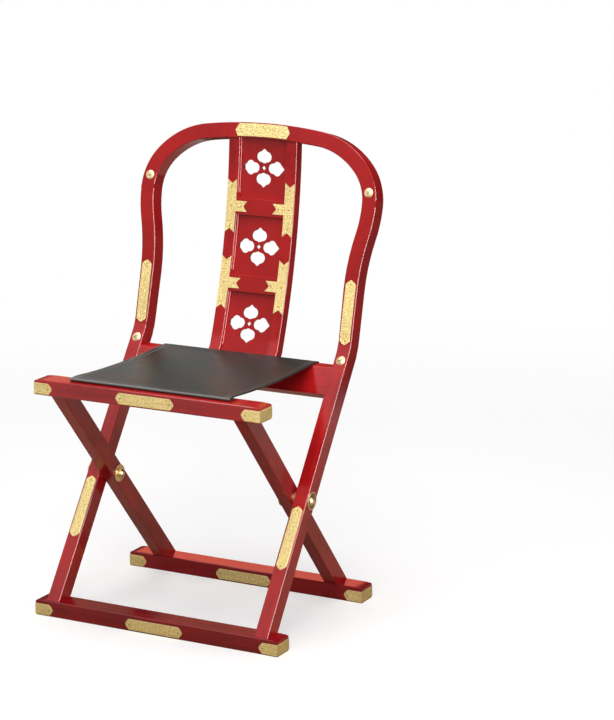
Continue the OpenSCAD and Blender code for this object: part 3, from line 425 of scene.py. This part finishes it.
# Pivots
# A bolt at each side with a domed head on a rimmed washer, a spacer between the legs, and a domed nut
# inside. Turned brass, polished and lightly tarnished where it isn't touched.
brass = Finish(bpy.data.materials.new("brass"))
brass_at = brass.node("ShaderNodeTexCoord", out="Object")
brass_stain = brass.node("ShaderNodeTexNoise", None, {"Vector": brass_at, "Scale": 220.0, "Detail": 3.0})
brass_tone = brass.rise(brass_stain, 0.35, 0.7)
# Painted shade: the groove round each outer washer and the floor of each screw's slot are painted dark.
brass_groove = brass.node("ShaderNodeAttribute", {"attribute_name": "groove"}, out="Fac")
brass_bright = brass.mix((0.92, 0.76, 0.46, 1), (0.66, 0.48, 0.21, 1), brass_tone)
brass.end(brass.node("ShaderNodeBsdfPrincipled", None, {
    "Base Color": brass.mix(brass_bright, (0.07, 0.045, 0.02, 1), brass_groove),
    "Metallic": 1.0,
    "Roughness": 0.22 + 0.2 * brass_tone + 0.3 * brass_groove,
    "Normal": brass.bump(brass_stain, distance=0.00005, strength=0.3),
}))

# The groove round the head of each bolt, where shade is painted, by its distance from the pivot's axis and
# its level on the washer.
pivot_y, pivot_z = frame["joints"][0]["pos_m"][1:]
groove_inner, groove_outer = 0.009, 0.0141
groove_x, groove_near = 0.2338, 0.00025


def sharp_edges(shape):
    """The outside edges of a metal piece."""
    convex = [edge for edge in shape.edges if len(edge.link_faces) == 2 and edge.is_convex]
    return [edge for edge in convex if edge.calc_face_angle() > sharp_angle]


def turned(node, round_off=0.0003):
    """A brass piece with its edges broken. The channel round an outer washer is painted dark, as painted
    shade.
    """
    shape = cad_shape(node)
    break_edges(shape, sharp_edges(shape), round_off, segments=2, clamped=True)
    groove = shape.verts.layers.float.new("groove")
    if node == "pivot_washers":
        for vert in shape.verts:
            from_axis = math.hypot(vert.co.y - pivot_y, vert.co.z - pivot_z)
            at_level = abs(abs(vert.co.x) - groove_x) < groove_near
            vert[groove] = 1.0 if at_level and groove_inner < from_axis < groove_outer else 0.0
    return finished(shape, node + "_polished", brass, "back_frame", [node])


for pivot_piece in ("pivot_bolts", "pivot_washers", "pivot_spacers", "pivot_nuts"):
    turned(pivot_piece)

# Scarf screws
# Domed brass screws draw the scarfs together. The two upper ones are plain domes. Each lower one has a
# slot: its dome is cut along the slot's two sides, and the strip between the cuts is sunk.
leg_lean = 35.2
slot_turn = 35
slot_half, slot_deep, slot_reach = 0.0009, 0.0012, 0.0095
dome_facing = 0.3
head_reach = 0.012
lower_screws_top = 0.5
cut_gap = 0.000001
lean = math.radians(leg_lean)
outward = Vector((0, -math.cos(lean), math.sin(lean)))
up_the_leg = Vector((0, math.sin(lean), math.cos(lean)))
across = Matrix.Rotation(math.radians(slot_turn), 3, outward) @ up_the_leg
screws = cad_shape("hoop_screws")
screw_groove = screws.verts.layers.float.new("groove")
for side in (-1, 1):
    screw_head = [v for v in screws.verts if v.co.x * side > 0 and v.co.z < lower_screws_top]
    tip = max((v.co.copy() for v in screw_head), key=lambda place: place.dot(outward))
    for way in (-1, 1):
        near = [v for v in screws.verts if (v.co - tip).length < head_reach]
        faces = list(dict.fromkeys(f for v in near for f in v.link_faces))
        edges = list(dict.fromkeys(e for f in faces for e in f.edges))
        bmesh.ops.bisect_plane(
            screws, geom=faces + edges + near, dist=cut_gap, plane_co=tip + across * slot_half * way,
            plane_no=across,
        )
    strip = []
    for face in screws.faces:
        from_tip = face.calc_center_median() - tip
        on_dome = from_tip.length < slot_reach and face.normal.dot(outward) > dome_facing
        if on_dome and abs(from_tip.dot(across)) < slot_half:
            strip.append(face)
    sunk = bmesh.ops.extrude_face_region(screws, geom=strip)
    bmesh.ops.delete(screws, geom=strip, context="FACES")
    slot_floor = [v for v in sunk["geom"] if isinstance(v, bmesh.types.BMVert)]
    bmesh.ops.translate(screws, verts=slot_floor, vec=-outward * slot_deep)
    # The slot's floor is painted dark, as painted shade.
    for vert in slot_floor:
        vert[screw_groove] = 1.0
bmesh.ops.recalc_face_normals(screws, faces=screws.faces)
finished(screws, "hoop_screws_domed", brass, "back_frame", ["hoop_screws"])

# Splat screws and leather tacks
# Hidden fasteners behind and under the seat: four screws in the stiles' feet, and tacks along the leather's
# two ends. Their solids are kept and only take the brass.
for fastener in ("splat_screws", "rear_leather_tacks", "front_leather_tacks"):
    frame["nodes"][fastener].data.materials.clear()
    frame["nodes"][fastener].data.materials.append(brass.owner)

# Fittings
# Thin gilt copper, cut to shape, chased with scrolls on a punched ground inside a plain border, and pinned
# on. Each cell of the pattern holds one scroll, drawn from the angle and the distance to the cell's middle.
gilt = Finish(bpy.data.materials.new("chased_gilt"))
gilt_field = gilt.node("ShaderNodeAttribute", {"attribute_name": "field"}, out="Fac")
gilt_dark_sides_and_shade = gilt.node("ShaderNodeAttribute", {"attribute_name": "dark_sides_and_shade"}, out="Fac")
gilt_flat = gilt.node("ShaderNodeUVMap", {"uv_map": "flat"})
flat_cells = {"voronoi_dimensions": "2D", "feature": "F1"}
scroll_cell = {"Vector": gilt_flat, "Scale": 175.0, "Randomness": 0.75}
punch_cell = {"Vector": gilt_flat, "Scale": 1100.0, "Randomness": 0.15}
gilt_reach = gilt.node("ShaderNodeTexVoronoi", flat_cells, scroll_cell, "Distance")
gilt_centre = gilt.node("ShaderNodeTexVoronoi", flat_cells, scroll_cell, "Position")
gilt_arm = gilt.node("ShaderNodeVectorMath", {"operation": "SUBTRACT"}, {0: gilt_flat, 1: gilt_centre})
gilt_arm_x = gilt.node("ShaderNodeSeparateXYZ", None, {0: gilt_arm}, "X")
gilt_arm_y = gilt.node("ShaderNodeSeparateXYZ", None, {0: gilt_arm}, "Y")
gilt_turn = gilt.sum("ARCTAN2", gilt_arm_y, gilt_arm_x) / (2 * math.pi)
gilt_spiral = gilt.sum("FRACT", gilt_turn + gilt_reach * 2.6 + 4.0)
gilt_scroll = 1 - gilt.rise(abs(gilt_spiral - 0.5), 0.12, 0.34)
gilt_punch = gilt.node("ShaderNodeTexVoronoi", flat_cells, punch_cell, "Distance")
gilt_ground = gilt.rise(gilt_punch, 0.15, 0.5) * (1 - gilt_scroll)
gilt_relief = (gilt_scroll * 0.8 - gilt_ground * 0.4) * gilt_field
gilt_cloud = gilt.node("ShaderNodeTexNoise", None, {"Vector": gilt_flat, "Scale": 260.0, "Detail": 3.0})
gilt_grain = gilt.node("ShaderNodeTexNoise", None, {"Vector": gilt_flat, "Scale": 800.0, "Detail": 2.0})
gilt_worn = gilt.rise(gilt_cloud * 0.65 + gilt_grain * 0.35, 0.36, 0.64)
gilt_mottle = gilt_worn * 0.55 + (1 - gilt_scroll) * 0.45
gilt_dark = gilt.rise(gilt_mottle * (0.35 + 0.65 * gilt_field), 0.10, 0.95)
gilt_face = gilt.mix((0.88, 0.75, 0.39, 1), (0.60, 0.44, 0.13, 1), gilt_dark)
# The fittings' sides and backs are painted dark, and painted shade darkens the foot fittings and the caps'
# ends.
gilt.end(gilt.node("ShaderNodeBsdfPrincipled", None, {
    "Base Color": gilt.mix(gilt_face, (0.10, 0.05, 0.015, 1), gilt_dark_sides_and_shade),
    "Metallic": 1.0,
    "Roughness": 0.36 + 0.22 * gilt_dark,
    "Normal": gilt.bump(gilt_relief, distance=0.0003, strength=1.0),
}))

# The body that each fitting rides on, and how far its face leans back, in degrees.
FITTINGS = {
    "crest_plate": ("back_frame", 13.9),
    "hoop_plate_left": ("back_frame", 18),
    "hoop_plate_right": ("back_frame", 18),
    "leg_plate_left": ("back_frame", leg_lean),
    "leg_plate_right": ("back_frame", leg_lean),
    "splat_fitting_upper_left": ("back_frame", 14),
    "splat_fitting_upper_right": ("back_frame", 14),
    "splat_fitting_lower_left": ("back_frame", 21),
    "splat_fitting_lower_right": ("back_frame", 21),
    "front_foot_plate": ("back_frame", 0),
    "front_foot_cap_left": ("back_frame", 0),
    "front_foot_cap_right": ("back_frame", 0),
    "seat_rail_plate": ("seat_frame", 0),
    "seat_rail_cap_left": ("seat_frame", 0),
    "seat_rail_cap_right": ("seat_frame", 0),
    "rear_foot_plate": ("seat_frame", 0),
    "rear_foot_cap_left": ("seat_frame", 0),
    "rear_foot_cap_right": ("seat_frame", 0),
}
rim_round = 0.00022
border = 0.0011
field_sunk = 0.00008
least_face, least_field = 0.000004, 0.0003
# Painted shade on the gilt: a little on the foot fittings, more on the caps' ends.
foot_painted_shade, cap_end_painted_shade = 0.14, 0.4
# How much of a normal has to point a way, for its face or corner to count as looking that way.
towards, sideways, cap_end, turned_back = 0.7, 0.7, 0.9, -0.25
fitting_faces = {}
for node, (body, face_lean) in FITTINGS.items():
    shape = cad_shape(node)
    break_edges(shape, sharp_edges(shape), rim_round, segments=2, clamped=True)
    field = shape.verts.layers.float.new("field")
    dark_sides_and_shade = shape.verts.layers.float.new("dark_sides_and_shade")
    flat = shape.loops.layers.uv.new("flat")
    for facing in (Vector((0, -1, 0)), Vector((1, 0, 0)), Vector((-1, 0, 0))):
        broad = [f for f in shape.faces if f.normal.dot(facing) > towards and f.calc_area() > least_face]
        if sum(f.calc_area() for f in broad) > least_field:
            bmesh.ops.inset_region(
                shape, faces=broad, thickness=border, depth=-field_sunk, use_even_offset=True
            )
            for vert in {v for f in broad for v in f.verts}:
                vert[field] = 1.0
    shape.normal_update()
    # Painted shade on the foot fittings and the caps' ends; the other fittings' sides and backs are painted
    # dark.
    for vert in shape.verts:
        vert[dark_sides_and_shade] = foot_painted_shade if "foot" in node else 0.0
        if "cap" in node and abs(vert.normal.x) > cap_end:
            vert[dark_sides_and_shade] = cap_end_painted_shade
        elif "cap" not in node and vert.normal.y > turned_back:
            vert[dark_sides_and_shade] = 1.0
    for face in shape.faces:
        for loop in face.loops:
            x, y, z = loop.vert.co
            along = y if abs(face.normal.x) > sideways else x
            loop[flat].uv = (along, z / math.cos(math.radians(face_lean)))
    fitting_faces[node] = BVHTree.FromBMesh(shape)
    finished(shape, node + "_chased", gilt, body, [node])

# Pins of the fittings
# Round-headed brass pins, one near each end of every plate and arm, and one near each cap's tip.
# The pins' brass is painted dark: painted shade round their small heads, with a stain over it.
shaded_pin_brass = Finish(bpy.data.materials.new("shaded_pin_brass"))
pin_at = shaded_pin_brass.node("ShaderNodeTexCoord", out="Object")
pin_stain = shaded_pin_brass.node("ShaderNodeTexNoise", None, {"Vector": pin_at, "Scale": 500.0, "Detail": 2.0})
shaded_pin_brass.end(shaded_pin_brass.node("ShaderNodeBsdfPrincipled", None, {
    "Base Color": shaded_pin_brass.mix((0.30, 0.19, 0.07, 1), (0.13, 0.09, 0.03, 1), pin_stain),
    "Metallic": 1.0,
    "Roughness": 0.3 + 0.2 * pin_stain,
}))

pin_radius, pin_dome = 0.0014, 0.5
pin_heads = {"back_frame": bmesh.new(), "seat_frame": bmesh.new()}


def pin(fitting, across, height):
    """One pin on a fitting's face, at the place where the front shows it."""
    ahead = Vector((across, -1, height))
    seat, normal, _, _ = fitting_faces[fitting].ray_cast(ahead, Vector((0, 1, 0)))
    stand = Matrix.Translation(seat) @ normal.to_track_quat("Z", "Y").to_matrix().to_4x4()
    heads = pin_heads[FITTINGS[fitting][0]]
    dome = stand @ Matrix.Diagonal((1, 1, pin_dome, 1))
    bmesh.ops.create_icosphere(heads, subdivisions=2, radius=pin_radius, matrix=dome)


stem_x, arm_x = 0.0617, 0.0400
hoop_x, hoop_z, hoop_rise = 0.2185, 0.5525, 0.0505
leg_x, leg_z, leg_rise = 0.2191, 0.1839, 0.0435
cap_in, plate_in = 0.0085, 0.009
for side, hand in ((-1, "left"), (1, "right")):
    for level, height, stem_rise in (("upper", 0.7205, 0.0362), ("lower", 0.5785, 0.0350)):
        for pin_x, rise in ((stem_x, stem_rise), (stem_x, -stem_rise), (stem_x, 0), (arm_x, 0)):
            pin(f"splat_fitting_{level}_{hand}", side * pin_x, height + rise)
    for way in (-1, 1):
        pin(f"hoop_plate_{hand}", side * hoop_x, hoop_z + way * hoop_rise)
        pin(f"leg_plate_{hand}", side * leg_x, leg_z + way * leg_rise)
    for rail in ("front_foot", "rear_foot", "seat_rail"):
        cap_low, cap_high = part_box(f"{rail}_cap_right")
        pin(f"{rail}_cap_{hand}", side * (cap_low[0] + cap_in), (cap_low[2] + cap_high[2]) / 2)
        plate_low, plate_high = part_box(f"{rail}_plate")
        pin(f"{rail}_plate", side * (plate_high[0] - plate_in), (plate_low[2] + plate_high[2]) / 2)
for body, heads in pin_heads.items():
    finished(heads, body + "_pins", shaded_pin_brass, body)

# Leather and batten
# One piece of dark cowhide, its sides turned under and stitched. In front it is folded round a batten and
# tacked to the seat rail; behind, it turns over the rear seat rail and is tacked to its back.
lacquered("leather_batten", "seat_frame", arris=0.0003)

leather = Finish(bpy.data.materials.new("dark_leather"))
hide_at = leather.node("ShaderNodeUVMap", {"uv_map": "flat"})
leather_patch = leather.node("ShaderNodeTexNoise", None, {"Vector": hide_at, "Scale": 9.0, "Detail": 4.0})
leather_scuff = leather.node("ShaderNodeTexNoise", None, {"Vector": hide_at, "Scale": 45.0, "Detail": 5.0})
leather_crease = leather.node("ShaderNodeTexNoise", None, {"Vector": hide_at, "Scale": 170.0, "Detail": 4.0})
pore_cell = {"Vector": hide_at, "Scale": 620.0, "Randomness": 1.0}
leather_pore = leather.node("ShaderNodeTexVoronoi", flat_cells, pore_cell, "Distance")
leather_worn_and_highlit = leather.node("ShaderNodeAttribute", {"attribute_name": "worn_and_highlit"}, out="Fac")
leather_brown = leather.rise(leather_patch * 0.75 + leather_scuff * 0.25, 0.42, 0.62)
leather_dark = leather.mix((0.015, 0.023, 0.022, 1), (0.031, 0.021, 0.017, 1), leather_brown)
# Pale where the leather is worn and where a highlight is painted along the fold, the left rim, the hems and
# the stitches.
leather.end(leather.node("ShaderNodeBsdfPrincipled", None, {
    "Base Color": leather.mix(leather_dark, (0.34, 0.33, 0.31, 1), leather_worn_and_highlit),
    "Roughness": 0.36 + 0.14 * leather_scuff,
    "IOR": 1.4,
    "Normal": leather.bump(leather_pore * 0.7 + leather_crease * 0.8, distance=0.00025, strength=0.5),
}))
suede = Finish(bpy.data.materials.new("leather_flesh_side"))
suede_flat = suede.node("ShaderNodeUVMap", {"uv_map": "flat"})
suede_nap = suede.node("ShaderNodeTexNoise", None, {"Vector": suede_flat, "Scale": 400.0, "Detail": 5.0})
suede.end(suede.node("ShaderNodeBsdfPrincipled", None, {
    "Base Color": suede.mix((0.055, 0.042, 0.034, 1), (0.10, 0.075, 0.058, 1), suede_nap),
    "Roughness": 0.9,
    "Normal": suede.bump(suede_nap, distance=0.0005, strength=0.7),
}))

# The leather's width, and the line of its middle from front to back, taken from the solids that carry it.
# The line stands off the wood by leather_stand.
leather_thick = 0.0018
leather_half = round(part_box("seat_leather")[1][0], 5)
leather_stand = 0.0012
batten_low, batten_high = (corner[2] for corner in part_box("leather_batten"))
fold_z = round((batten_low + batten_high) / 2, 5)
fold_r = round((batten_high - batten_low) / 2, 5) + leather_stand
fold_y = round(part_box("seat_leather")[0][1], 4) + fold_r + leather_thick / 2
rear_y, rear_z = (round(value, 4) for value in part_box("rear_seat_rail")[1][1:])
turn_r = leather_stand
seat_back_y = 0.087
seat_sag = 0.005
tuck_long = 0.016
flap_long = 0.025
fold_long = math.pi * fold_r
top_long = rear_y - fold_y
turn_long = turn_r * (math.pi / 2 + lean)
LEATHER_LONG = tuck_long + fold_long + top_long + turn_long + flap_long


def leather_path(s):
    """The middle of the leather's thickness, as (y, z), at the length s from its hidden front end."""
    tuck_y = fold_y + tuck_long
    if s < tuck_long:
        return tuck_y - s, fold_z - fold_r
    s -= tuck_long
    if s < fold_long:
        angle = -math.pi / 2 - s / fold_r
        return fold_y + fold_r * math.cos(angle), fold_z + fold_r * math.sin(angle)
    s -= fold_long
    if s < top_long:
        seat_front_z, seat_rear_z = fold_z + fold_r, rear_z + turn_r
        y = fold_y + s
        k = min(max((y - tuck_y) / (seat_back_y - tuck_y), 0), 1)
        return y, seat_front_z + (seat_rear_z - seat_front_z) * k - 4 * seat_sag * k * (1 - k)
    s -= top_long
    if s < turn_long:
        angle = math.pi / 2 - s / turn_r
        return rear_y + turn_r * math.cos(angle), rear_z + turn_r * math.sin(angle)
    s -= turn_long
    flap_y, flap_z = rear_y + turn_r * math.cos(lean), rear_z - turn_r * math.sin(lean)
    return flap_y - s * math.sin(lean), flap_z - s * math.cos(lean)


# Rows run across the leather, close together round the two folds. Columns run along it, close at the hems.
fold_rows, top_rows, turn_rows, flap_rows, middle_columns = 10, 44, 8, 5, 36
rows = [0, 0.008, 0.014, tuck_long]
rows += [tuck_long + fold_long * i / fold_rows for i in range(1, fold_rows + 1)]
for i in range(1, top_rows + 1):
    rows.append(tuck_long + fold_long + top_long * (0.5 - 0.5 * math.cos(math.pi * i / top_rows)))
rows += [LEATHER_LONG - flap_long - turn_long * (1 - i / turn_rows) for i in range(1, turn_rows + 1)]
rows += [LEATHER_LONG - flap_long * (1 - i / flap_rows) for i in range(1, flap_rows + 1)]
side_steps = [
    0, 0.0004, 0.001, 0.0018, 0.004, 0.0065, 0.0077, 0.0085, 0.0093, 0.0105, 0.0115, 0.0125, 0.0135, 0.0155,
]
middle_half = leather_half - side_steps[-1]
columns = [-leather_half + step for step in side_steps]
columns += [-middle_half + middle_half * 2 * i / middle_columns for i in range(1, middle_columns)]
columns += [leather_half - step for step in reversed(side_steps)]


def ridge(distance, width):
    """1 on a line, falling away softly over the width on both sides."""
    return math.exp(-(distance / width) ** 2)


# The turned hem stands up by its thickness between the rounded side edge and a soft step, and the stitches
# pull a line down along it. One front corner curls up a little, as the photo's does.
edge_from, edge_round = -0.0003, 0.0011
hem_in, hem_soft, hem_thick = 0.0125, 0.0004, 0.0012
stitch_in, stitch_wide, stitch_sunk = 0.0085, 0.0007, 0.0005
relief_from, relief_until, relief_fade = 0.022, LEATHER_LONG - 0.045, 0.03
corner_from, corner_long, corner_wide, corner_lift = 0.02, 0.05, 0.04, 0.0012
# The leather is painted pale along the front fold, the left-hand rim, the hems' steps and the stitches:
# partly wear, partly a painted highlight on these ridges.
pale_fold_at, pale_fold_wide = tuck_long + 0.8 * fold_long, 0.0018
pale_rim_in, pale_rim_wide = 0.0012, 0.0008
pale_hem_in, pale_hem_wide = 0.0120, 0.0007
leather_shape = bmesh.new()
bmesh.ops.create_grid(leather_shape, x_segments=len(columns) - 1, y_segments=len(rows) - 1, size=0.5)
flat = leather_shape.loops.layers.uv.new("flat")
worn_and_highlit = leather_shape.verts.layers.float.new("worn_and_highlit")
flat_place = {}
for vert in leather_shape.verts:
    x = columns[round((vert.co.x + 0.5) * (len(columns) - 1))]
    s = rows[round((vert.co.y + 0.5) * (len(rows) - 1))]
    y, z = leather_path(s)
    inward = leather_half - abs(x)
    past_hem = 1 / (1 + math.exp(-(inward - hem_in) / hem_soft))
    hem = (1 - past_hem) * (1 - ridge(inward - edge_from, edge_round))
    stitches = ridge(inward - stitch_in, stitch_wide)
    corner_along = max(0, 1 - (s - corner_from) / corner_long)
    corner_across = max(0, (corner_wide - leather_half - x) / corner_wide)
    past_front = min(max((s - relief_from) / relief_fade, 0), 1)
    before_rear = min(max((relief_until - s) / relief_fade, 0), 1)
    corner_curl = corner_lift * corner_along * corner_across
    z += past_front * before_rear * (hem_thick * hem - stitch_sunk * stitches + corner_curl)
    fold_pale = 0.5 * ridge(s - pale_fold_at, pale_fold_wide)
    rim_pale = 0.7 * ridge(inward - pale_rim_in, pale_rim_wide) if x < 0 else 0
    hem_pale = 0.45 * ridge(inward - pale_hem_in, pale_hem_wide)
    vert[worn_and_highlit] = max(fold_pale, rim_pale, hem_pale, 0.25 * stitches)
    flat_place[vert.index] = (x, s)
    vert.co = (x, y, z)
for face in leather_shape.faces:
    face.smooth = True
    for loop in face.loops:
        loop[flat].uv = flat_place[loop.vert.index]

# The grain side faces up, and the flesh side down.
bmesh.ops.recalc_face_normals(leather_shape, faces=leather_shape.faces)
if sum(f.normal.z * f.calc_area() for f in leather_shape.faces) < 0:
    bmesh.ops.reverse_faces(leather_shape, faces=leather_shape.faces)
leather_mesh = bpy.data.meshes.new("seat_leather_sling")
leather_shape.to_mesh(leather_mesh)
leather_shape.free()
leather_mesh.materials.append(leather.owner)
leather_mesh.materials.append(suede.owner)
sling = bpy.data.objects.new("seat_leather_sling", leather_mesh)
scene.collection.objects.link(sling)
skin = sling.modifiers.new("leather_thickness", "SOLIDIFY")
skin.thickness = leather_thick
skin.offset = 0
skin.material_offset = 1
skin.material_offset_rim = 0
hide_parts("seat_leather")
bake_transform(sling)
